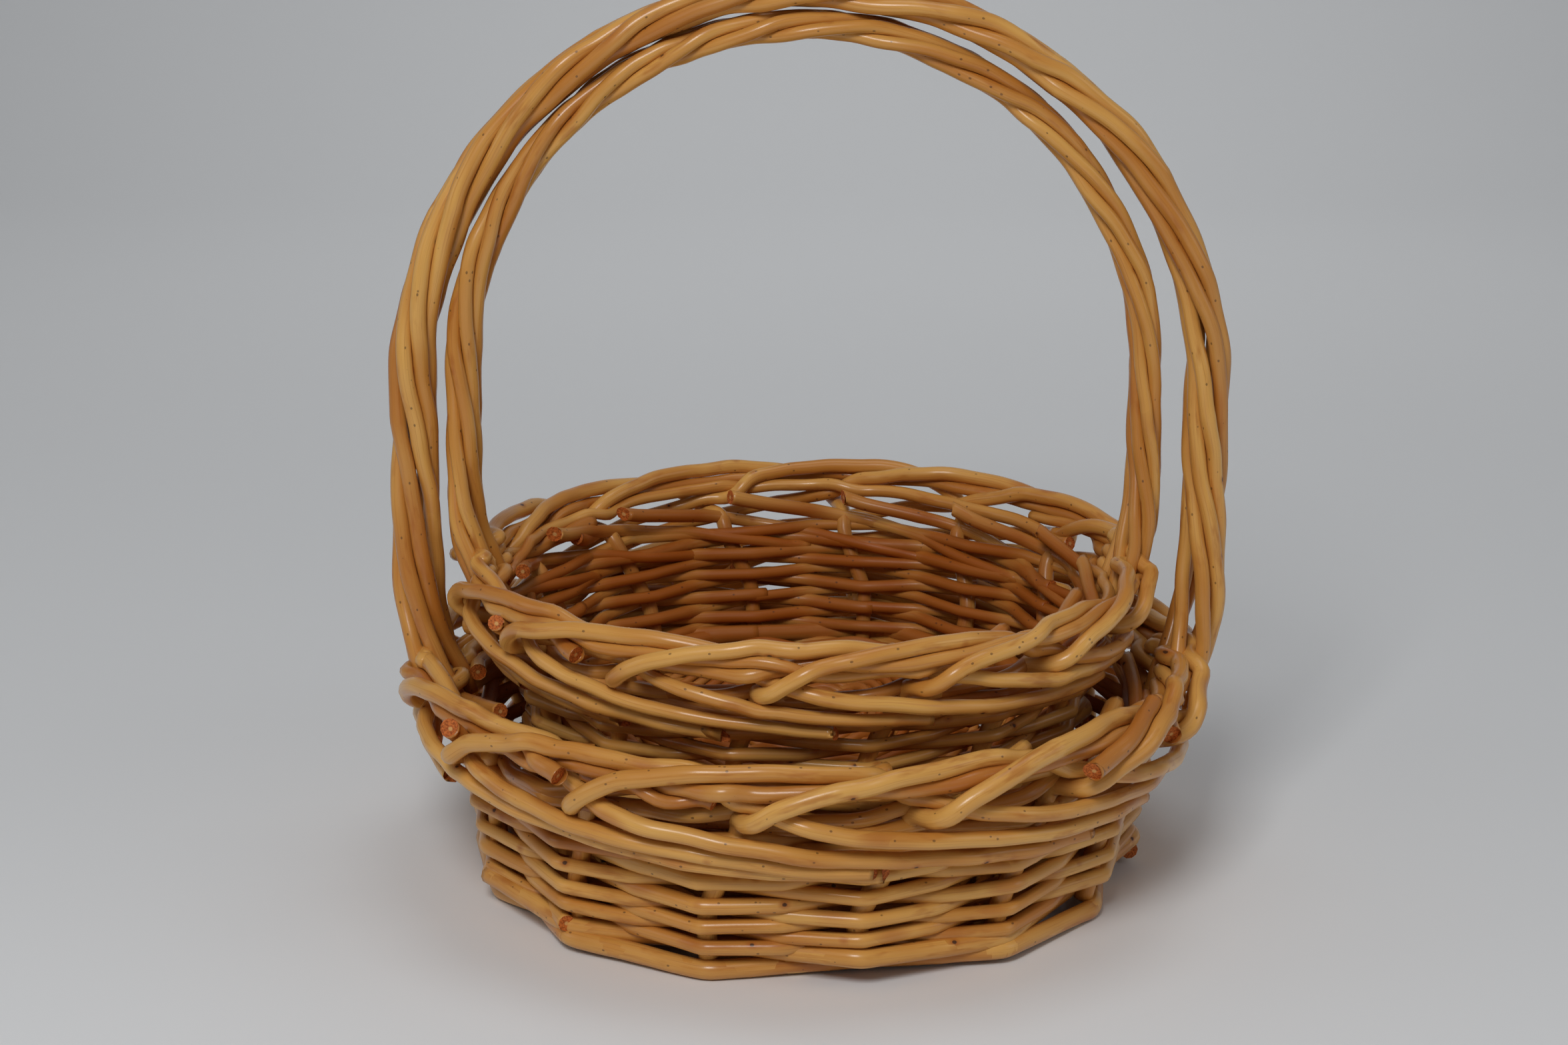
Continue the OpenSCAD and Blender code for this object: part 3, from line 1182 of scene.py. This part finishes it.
    def build(self, shop: Workshop, rods: list[Rod], butts: list[Rod], core: list[Rod]) -> None:
        """Makes each border rod and each butt a piece of its own, and the core one more.

        Args:
            shop: where rods become pieces.
            rods: the settled rods.
            butts: the settled butts.
            core: the settled rods of the core.
        """
        for index, rod in enumerate(rods):
            shop.piece(f"border_rod_{index + 1:02d}", [rod], self.frame, "willow_border",
                       "border_rim", "border_skirt", "stakes")
        for index, rod in enumerate(butts):
            shop.piece(f"border_butt_{index + 1}", [rod], self.frame, "willow_border",
                       "border_rim", "border_skirt")
        shop.piece("border_core", core, self.frame, "willow_border", "border_rim")


@dataclass
class Handle:
    """The arched handle: six rods loosely twisted, with their feet spread in the border."""

    frame: BasketFrame
    loose: float
    start: float
    shift: float
    rise: float
    rods: int = 6
    turns: float = 2.9
    crown_loose: float = 0.40
    splay_length: float = 90.0 * MM
    tuck_length: float = 42.0 * MM
    tuck_depth: float = 8.0 * MM

    def lay(self, shop: Workshop) -> list[Rod]:
        """Lays the handle's rods from the left foot to the right.

        Args:
            shop: where the unevenness is drawn.

        Returns:
            The rods, in order round the bundle.
        """
        frame_ = self.frame
        d = frame_.handle_d
        middle = frame_.handle_r - d - 0.1 * MM
        springing = frame_.handle_top - frame_.handle_r
        foot = frame_.seat_z - 2.0 * MM
        leg = springing - foot
        arch = math.pi * middle
        total = 2.0 * leg + arch
        made = []
        for index in range(self.rods):
            phase = FULL_TURN * (index / self.rods + self.start)
            points = []
            drift = shop.vary(-0.25, 0.25)
            for at in np.linspace(0.0, total, 90):
                if at < leg:
                    centre, out = (-middle, foot + at), (-1.0, 0.0)
                elif at > leg + arch:
                    centre, out = (middle, foot + total - at), (1.0, 0.0)
                else:
                    angle = math.pi - (at - leg) / middle
                    out = (math.cos(angle), math.sin(angle))
                    centre = (middle * out[0], springing + middle * out[1])
                height = max(0.0, min(1.0, (centre[1] - foot) / (frame_.handle_top - foot)))
                crown = height ** 3
                turn = phase + FULL_TURN * self.turns * at / total + drift * math.sin(at / total * 9.0)
                thick = d * (self.loose + (self.crown_loose - self.loose) * crown)
                broad = d * (1.12 + 0.22 * crown)
                splay = max(0.0, 1.0 - min(at, total - at) / self.splay_length)
                across = math.sin(turn) * broad * (1.0 + 1.3 * splay)
                tuck = max(0.0, 1.0 - min(at, total - at) / self.tuck_length)
                proud = math.cos(turn) * thick * (1.0 + 0.35 * splay) - self.tuck_depth * tuck * tuck
                points.append((
                    centre[0] + out[0] * proud + self.shift, across,
                    centre[1] + out[1] * proud + self.rise * crown))
            for end in (0, -1):
                x, y, z = points[end]
                inward = -math.copysign(1.0, x)
                deep = shop.vary(7.0, 12.0) * MM
                extra = (x + inward * shop.vary(2.0, 5.0) * MM, y, z - deep)
                points.insert(0 if end == 0 else len(points), extra)
            made.append(Rod(
                np.array(points), d / 2.0 * shop.vary(0.92, 1.02), d / 2.0 * shop.vary(0.78, 0.9),
                step=2.8 * MM, corner=7.0 * MM, wander=0.9 * MM, tone=shop.vary(0.1, 0.8),
                sides=Sides.ROUND).lay(shop.draw))
        return made

    def build(self, shop: Workshop, rods: list[Rod]) -> None:
        """Makes each handle rod a piece of its own.

        Args:
            shop: where rods become pieces.
            rods: the settled rods.
        """
        nodes = [f"handle_{layer}_{lane}" for layer in ("inner", "outer")
                 for lane in ("front", "middle", "back")]
        for index, (rod, node) in enumerate(zip(rods, nodes)):
            shop.piece(f"handle_rod_{index + 1}", [rod], self.frame, "willow_handle", node)


@dataclass
class Basket:
    """One whole basket, from its floor to its handle."""

    side: Side
    siding_butt: float
    siding_tip: float
    handle_loose: float
    handle_start: float
    handle_shift: float
    handle_rise: float
    handle_room: float = 1.4 * MM
    settle_rounds: int = 60
    quick_rounds: int = 12

    def build(self, shop: Workshop, above: list[Rod]) -> list[Rod]:
        """Builds every piece of the basket.

        Args:
            shop: where rods become pieces.
            above: another basket's handle rods, which this one's handle stays clear of.

        Returns:
            The rods of its handle.
        """
        sizes = BasketFrame(self.side)
        Floor(sizes).build(shop)
        Wall(sizes, self.siding_butt, self.siding_tip).build(shop)
        handle = Handle(sizes, loose=self.handle_loose, start=self.handle_start,
                        shift=self.handle_shift, rise=self.handle_rise)
        border = Border(sizes)
        arch = handle.lay(shop)
        rounds = self.settle_rounds
        settle(arch, [], rounds)
        if above:
            settle(arch, above, 2 * rounds, room=self.handle_room)
        rim, butts, core = border.lay(shop), border.butts(shop), border.core(shop)
        settle(rim + butts + core, arch, rounds)
        handle.build(shop, arch)
        border.build(shop, rim, butts, core)
        return arch


@dataclass
class Studio:
    """Pale sweep, soft lights and the camera."""

    distance: float = 1.300
    height: float = 0.522
    shift_x: float = -0.0088
    pitch: float = 0.276
    focal_mm: float = 71.84
    sweep_width: float = 9.0
    sweep_depth: float = 6.5
    sweep_rise: float = 4.0
    sweep_bend: float = 1.6

    def build(self) -> None:
        """Builds the sweep, the lights and the camera."""
        self._sweep()
        self._light("key_softbox", (-0.35, -1.55, 1.55), (0.0, 0.0, 0.12), 0.6, 19.0)
        self._light("top_softbox", (0.2, 0.1, 2.1), (0.0, 0.0, 0.1), 0.9, 4.5)
        self._light("right_fill", (1.9, -0.5, 0.9), (0.0, 0.0, 0.15), 1.0, 3.0)
        self._light("left_fill", (-1.9, -0.3, 0.9), (0.0, 0.0, 0.15), 1.0, 2.6)
        self._light("backdrop_wash", (0.1, 1.3, 1.5), (0.1, 2.8, 0.35), 0.8, 6.5)
        self._world()
        self._camera()
        bpy.context.scene.view_settings.view_transform = "Standard"

    def _sweep(self) -> None:
        """A floor that curves up into a backdrop."""
        bpy.ops.object.select_all(action="DESELECT")
        bpy.ops.mesh.primitive_plane_add(size=1.0)
        sweep = bpy.context.object
        sweep.name = "studio_sweep"
        bpy.ops.object.mode_set(mode="EDIT")
        bpy.ops.transform.resize(value=(self.sweep_width, self.sweep_depth, 1.0))
        bpy.ops.mesh.select_mode(type="EDGE")
        bpy.ops.mesh.select_all(action="DESELECT")
        bpy.ops.object.mode_set(mode="OBJECT")
        for edge in sweep.data.edges:
            edge.select = all(sweep.data.vertices[v].co.y > 0.0 for v in edge.vertices)
        bpy.ops.object.mode_set(mode="EDIT")
        bpy.ops.mesh.extrude_region_move(TRANSFORM_OT_translate={"value": (0.0, 0.0, self.sweep_rise)})
        bpy.ops.object.mode_set(mode="OBJECT")
        bend = sweep.modifiers.new("bend", "BEVEL")
        bend.width = self.sweep_bend
        bend.segments = 24
        bend.limit_method = "ANGLE"
        bpy.ops.object.modifier_apply(modifier="bend")
        bpy.ops.object.shade_smooth()
        sweep.data.materials.append(StudioFinish().build())

    def _light(self, name: str, place: Triple, aim: Triple, size: float, power: float) -> None:
        """Adds a square softbox that points at a spot.

        Args:
            name: the light's name.
            place: where it stands.
            aim: the spot it points at.
            size: length of its side.
            power: its strength, in watts.
        """
        bpy.ops.object.light_add(type="AREA", location=place)
        lamp = bpy.context.object
        lamp.name = name
        lamp.data.shape = "SQUARE"
        lamp.data.size = size
        lamp.data.energy = power
        away = np.array(aim) - np.array(place)
        flat = math.hypot(away[0], away[1])
        lamp.rotation_euler = (math.atan2(flat, -away[2]), 0.0, math.atan2(-away[0], away[1]))

    def _world(self) -> None:
        """Even, slightly cool light from all round."""
        world = bpy.data.worlds.new("studio_air")
        world.use_nodes = True
        back = world.node_tree.nodes["Background"]
        back.inputs["Color"].default_value = (0.88, 0.91, 0.95, 1.0)
        back.inputs["Strength"].default_value = 0.16
        bpy.context.scene.world = world

    def _camera(self) -> None:
        """The camera, in front and a little above."""
        bpy.ops.object.camera_add(
            location=(self.shift_x, -self.distance, self.height),
            rotation=(math.pi / 2.0 - self.pitch, 0.0, 0.0))
        camera = bpy.context.object
        camera.data.lens = self.focal_mm
        camera.data.sensor_width = 36.0
        camera.data.clip_start = 0.05
        bpy.context.scene.camera = camera


def main() -> None:
    """Builds the studio, the finishes and both baskets."""
    logging.basicConfig(level=logging.INFO, format="%(message)s")
    WillowFinish().build()
    CutFinish().build()
    Studio().build()
    shop = Workshop(seed=41)
    large_handle = Basket(
        Side.LARGE, siding_butt=3.65 * MM, siding_tip=2.85 * MM, handle_loose=0.88, handle_start=0.30,
        handle_shift=2.4 * MM, handle_rise=0.8 * MM).build(shop, above=[])
    Basket(
        Side.SMALL, siding_butt=3.1 * MM, siding_tip=2.5 * MM, handle_loose=0.66, handle_start=0.05,
        handle_shift=-0.2 * MM, handle_rise=2.6 * MM).build(shop, above=large_handle)
    LOG.info("%d pieces, about %d triangles", shop.count, shop.triangles)


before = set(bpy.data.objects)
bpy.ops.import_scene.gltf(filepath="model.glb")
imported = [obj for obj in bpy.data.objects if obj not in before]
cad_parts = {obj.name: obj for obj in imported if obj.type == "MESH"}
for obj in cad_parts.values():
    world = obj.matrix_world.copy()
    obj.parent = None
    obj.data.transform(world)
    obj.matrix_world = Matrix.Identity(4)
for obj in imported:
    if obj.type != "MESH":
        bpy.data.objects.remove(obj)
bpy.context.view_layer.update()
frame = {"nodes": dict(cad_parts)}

if __name__ == "__main__":
    main()
